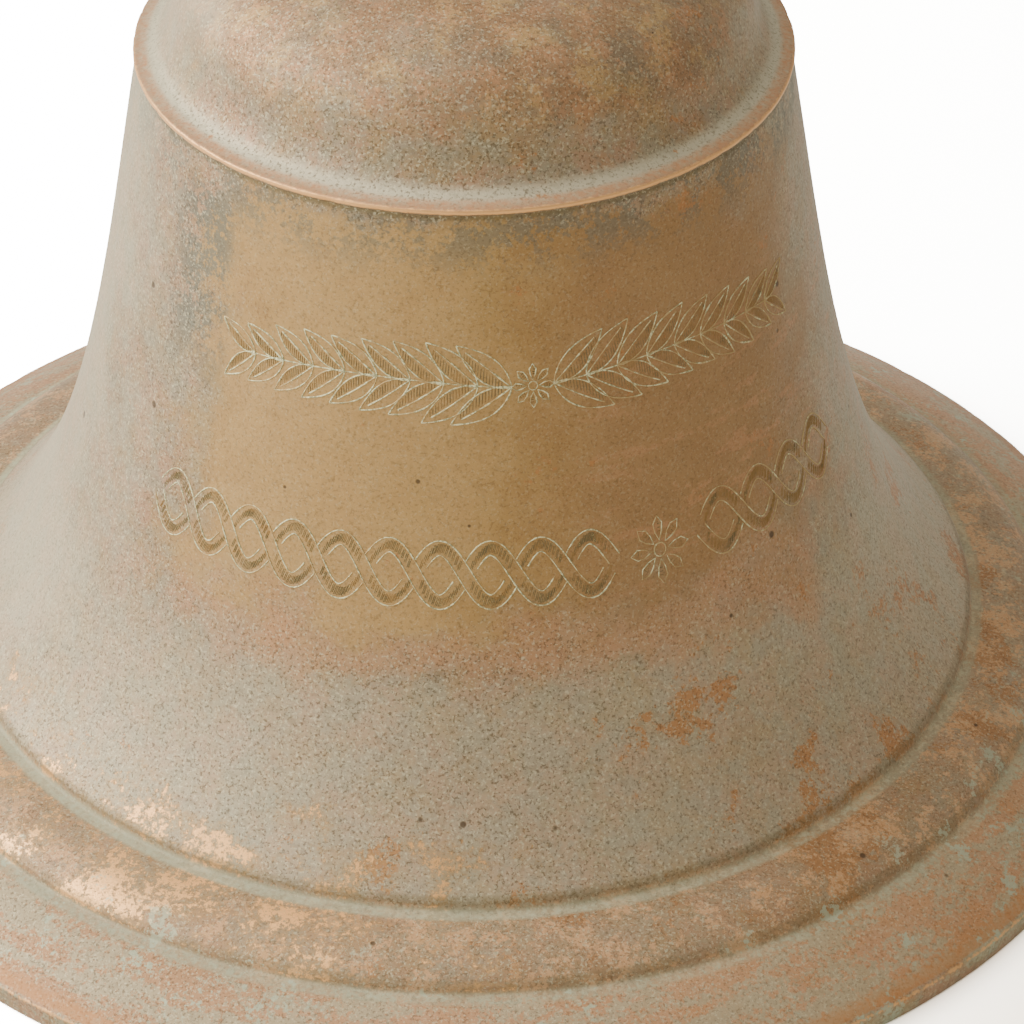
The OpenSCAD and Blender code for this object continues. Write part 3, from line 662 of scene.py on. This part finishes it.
# a plait of two strands under the branches, with a flower in its gap and one between the branches
plaitLines, plaitHatch = ([], []), ([], [])
stepCount = 16
for start, end in ((o["plaitStart"], o["gapStart"]), (o["gapEnd"], o["plaitEnd"])):
    turns = max(1, round((end - start) / o["plaitStep"] * 2)) / 2
    spots = int(turns * 2 * stepCount)
    step = (end - start) / spots
    for strand in (0, 1):
        run = []
        for i in range(spots + 1):
            phase = math.pi * i / stepCount
            rise = o["plaitRise"] * math.sin(phase) * (1 if strand == 0 else -1)
            run.append((start + step * i, o["plaitHeight"] + rise, phase))
        for edge in (-1, 1):
            part = []
            for x, y, phase in run:
                slope = o["plaitRise"] * math.cos(phase) * math.pi / (stepCount * step) * (1 if strand == 0 else -1)
                lean = math.hypot(1, slope)
                crossing = abs(math.sin(phase)) < 0.25 and (round(phase / math.pi) + strand) % 2 == 0
                if crossing:
                    if len(part) > 1:
                        polyline(plaitLines, part)
                    part = []
                else:
                    part.append((x - slope / lean * o["plaitStrand"] * edge, y + o["plaitStrand"] / lean * edge))
            if len(part) > 1:
                polyline(plaitLines, part)
        for x, y, phase in run[1:-1]:
            if abs(math.sin(phase)) > 0.35:
                for k in (0.0, 0.5):
                    middleX = x + k * step
                    polyline(plaitHatch, [(middleX - 0.3, y - 0.9), (middleX, y), (middleX + 0.3, y + 0.9)])


def flower(lines, hatch, x, y, size):  # eight petals round a boss
    polyline(lines, [(x + size * 0.2 * math.cos(a), y + size * 0.2 * math.sin(a))
                     for a in (math.tau * i / 16 for i in range(16))], True)
    for petal in range(8):
        a = math.tau * petal / 8
        polyline(lines, [(x + size * (0.28 + 0.72 * u) * math.cos(a + w),
                          y + size * (0.28 + 0.72 * u) * math.sin(a + w))
                         for u, w in ((0, 0), (0.35, 0.22), (0.7, 0.2), (1, 0), (0.7, -0.2), (0.35, -0.22))], True)
        for u in (0.35, 0.5, 0.65):
            r = size * (0.28 + 0.72 * u)
            polyline(hatch, [(x + r * math.cos(a + w), y + r * math.sin(a + w)) for w in (-0.16, 0, 0.02)])


flower(plaitLines, plaitHatch, (o["gapStart"] + o["gapEnd"]) / 2, o["plaitHeight"] - 0.8, 7.2)
layOrnament("plaitLines", plaitLines, o["plaitRadius"], o["strokeRadius"], cutLine)
layOrnament("plaitHatch", plaitHatch, o["plaitRadius"], o["hatchRadius"], cutHatch)
middle, middleHatch = ([], []), ([], [])
flower(middle, middleHatch, o["branchMiddle"], o["branchHeight"], 4.6)
layOrnament("flowerLines", middle, o["branchRadius"], o["strokeRadius"], cutLine)
layOrnament("flowerHatch", middleHatch, o["branchRadius"], o["hatchRadius"], cutHatch)
print("ornament laid on the waist")


# the fittings' metals and leather
def metalFinish(name, base, worn, dark, roughness, grain=0.5, patina=0.5):
    material, t, shader, at = newMaterial(name)
    flecks = useGroup(t, speckle, Vector=at, Grain=grain)
    loose = put(t, "ShaderNodeTexNoise", {"Vector": at, "Scale": 0.9, "Detail": 3.0, "Roughness": 0.7})["Fac"] - 0.5
    stain = useGroup(t, patch, Vector=at, Size=8.0, Amount=patina, Soft=0.1, Break_Up=loose, Ragged=0.8)["Mask"]
    tone = solidTint(t, base).cover(stain * 0.65, dark)
    tone = tone.cover(flecks["Light"] * 0.35, worn).cover(flecks["Dark"] * 0.4, dark)
    join(t, tone, shader["Base Color"])
    shader["Metallic"].default_value = 0.8
    join(t, stain * 0.15 + roughness, shader["Roughness"])
    relief = put(t, "ShaderNodeBump", {"Strength": 0.3, "Distance": 0.0001, "Height": flecks["Height"]})[0]
    join(t, relief, shader["Normal"])
    return material


castBronze = metalFinish("dull cast bronze", tint(142, 116, 82), tint(206, 168, 118), tint(84, 70, 50), 0.48)
turnedBronze = metalFinish("turned bronze", tint(176, 142, 92), tint(226, 190, 134), tint(98, 78, 52),
                           0.34, 0.35, 0.42)
bushBronze = metalFinish("oiled bush bronze", tint(188, 146, 84), tint(228, 190, 124), tint(104, 76, 44),
                         0.28, 0.35, 0.36)
padLeather, t, shader, at = newMaterial("oiled pad leather")
hide = put(t, "ShaderNodeTexVoronoi", {"Vector": at, "Scale": 0.9}, feature="DISTANCE_TO_EDGE")["Distance"]
wear = put(t, "ShaderNodeTexNoise", {"Vector": at, "Scale": 0.3, "Detail": 4.0, "Roughness": 0.7})["Fac"]
tone = solidTint(t, tint(40, 26, 17)).cover(hide.ramp(0.0, 0.18), tint(88, 58, 38))
join(t, tone.cover(wear.ramp(0.5, 0.75) * 0.5, tint(124, 92, 66)), shader["Base Color"])
join(t, wear.ramp(0.3, 0.7, 0.55, 0.75), shader["Roughness"])
creases = put(t, "ShaderNodeBump", {"Strength": 0.5, "Distance": 0.0002, "Height": hide.ramp(0.0, 0.18)})[0]
join(t, creases, shader["Normal"])
bySlot = {"fitting_bronze": castBronze, "turned_bronze": turnedBronze, "bush_bronze": bushBronze,
          "pad_leather": padLeather, "bell_bronze": bellBronze}
roundOver = {  # millimetres: how far each part's edges are rounded over
    "hanger_eye": 0.9, "clamp_nut": 0.5, "upper_washer": 0.4, "crown_leather": 0.8, "crown_bolt": 0.4,
    "inner_leather": 0.8, "inner_washer": 0.4, "slotted_nut": 0.4, "swivel_fork": 0.6, "pivot_pin": 0.3,
    "pivot_washer": 0.25, "clapper_rod": 0.7, "clapper_ball": 0.5, "tail_eye": 0.4,
}
edgeWork = {"segments": 3, "sharpFrom": 32, "shadeFrom": 40}  # degrees between faces


def rounded(name, reach):  # a copy of a part with its sharp edges rounded over
    source = nodes[name]
    item = bpy.data.objects.new(name.replace("_", "") + "Worn", source.data.copy())
    bpy.context.scene.collection.objects.link(item)
    work = bmesh.new()
    work.from_mesh(item.data)
    bmesh.ops.remove_doubles(work, verts=work.verts, dist=0.001 * mm)
    bmesh.ops.dissolve_limit(work, angle_limit=math.radians(0.5), verts=work.verts, edges=work.edges)
    work.to_mesh(item.data)
    work.free()
    bevel = item.modifiers.new("edges", "BEVEL")
    bevel.width = reach * mm
    bevel.segments = edgeWork["segments"]
    bevel.limit_method = "ANGLE"
    bevel.angle_limit = math.radians(edgeWork["sharpFrom"])
    bakeNodes(item)
    item.data.set_sharp_from_angle(angle=math.radians(edgeWork["shadeFrom"]))
    for face in item.data.polygons:
        face.use_smooth = True
    return item


for part in frame["record"]["subparts"]:
    name, slotName = part["node"], part["material_slot"]
    for slot in nodes[name].material_slots:
        slot.material = bySlot[slotName]
    if name in roundOver:
        item = rounded(name, roundOver[name])
        keep(item, body_of(nodes[name])[0], slotName, name)
        print("rounded", name, len(item.data.polygons), "faces")
print("fittings finished")


# floor, light and camera
studio = {
    "target": (0.0101, 0.0, 0.0382), "distance": 0.8972, "elevation": 36.02, "roll": 0.26, "lens": 143.26,
    "floorLit": (0.8, 0.78, 0.72, 1), "floorPale": (11.0, 11.0, 10.8, 1), "floorWarm": (2.3, 1.9, 1.35, 1),
    "skyTint": (1, 0.97, 0.9, 1), "skyStrength": 0.48,
}
floor = meshObject("floor", [(-6, -6, 0), (6, -6, 0), (6, 6, 0), (-6, 6, 0)], [(0, 1, 2, 3)])
floorPaint, t, shader, at = newMaterial("pale floor")
t.nodes.remove(t.nodes["Principled BSDF"])
spot = put(t, "ShaderNodeSeparateXYZ", {0: at})
# painted shadow: the floor darker and warmer towards the front right, beside the bell
shade = (spot["X"] - spot["Y"]).ramp(60, 290)
shown = solidTint(t, studio["floorPale"]).cover(shade, studio["floorWarm"])
lit = solidTint(t, studio["floorLit"]).cover(put(t, "ShaderNodeLightPath")["Is Camera Ray"], shown)
join(t, put(t, "ShaderNodeBsdfDiffuse", {"Color": lit})[0], t.nodes["Material Output"].inputs["Surface"])
floor.data.materials.append(floorPaint)

world = bpy.data.worlds.new("studio")
bpy.context.scene.world = world
world.use_nodes = True
world.node_tree.nodes["Background"].inputs["Color"].default_value = studio["skyTint"]
world.node_tree.nodes["Background"].inputs["Strength"].default_value = studio["skyStrength"]


def softbox(name, place, size, energy, lightTint=(1, 1, 1)):
    light = bpy.data.lights.new(name, "AREA")
    light.shape = "SQUARE"
    light.size = size
    light.energy = energy
    light.color = lightTint
    item = bpy.data.objects.new(name, light)
    item.location = place
    item.rotation_euler = (Vector((0, 0, 0.08)) - Vector(place)).to_track_quat("-Z", "Y").to_euler()
    bpy.context.scene.collection.objects.link(item)


softbox("window", (-1.3, 0.15, 0.85), 1.0, 34, (1, 0.99, 0.96))
softbox("overhead", (-0.5, 0.1, 1.5), 1.2, 9, (1, 0.98, 0.94))
softbox("fill", (-1.3, -1.1, 0.9), 1.2, 12, (1, 0.98, 0.93))

camera = bpy.data.objects.new("camera", bpy.data.cameras.new("camera"))
bpy.context.scene.collection.objects.link(camera)
bpy.context.scene.camera = camera
camera.data.lens = studio["lens"]
camera.data.sensor_width = 36
camera.data.clip_start = 0.02
rise = math.radians(studio["elevation"])
away = Vector((0, -math.cos(rise), math.sin(rise)))
camera.matrix_world = (Matrix.Translation(Vector(studio["target"]) + away * studio["distance"])
                       @ away.to_track_quat("Z", "Y").to_matrix().to_4x4()
                       @ Matrix.Rotation(math.radians(studio["roll"]), 4, "Z"))
print("studio set")
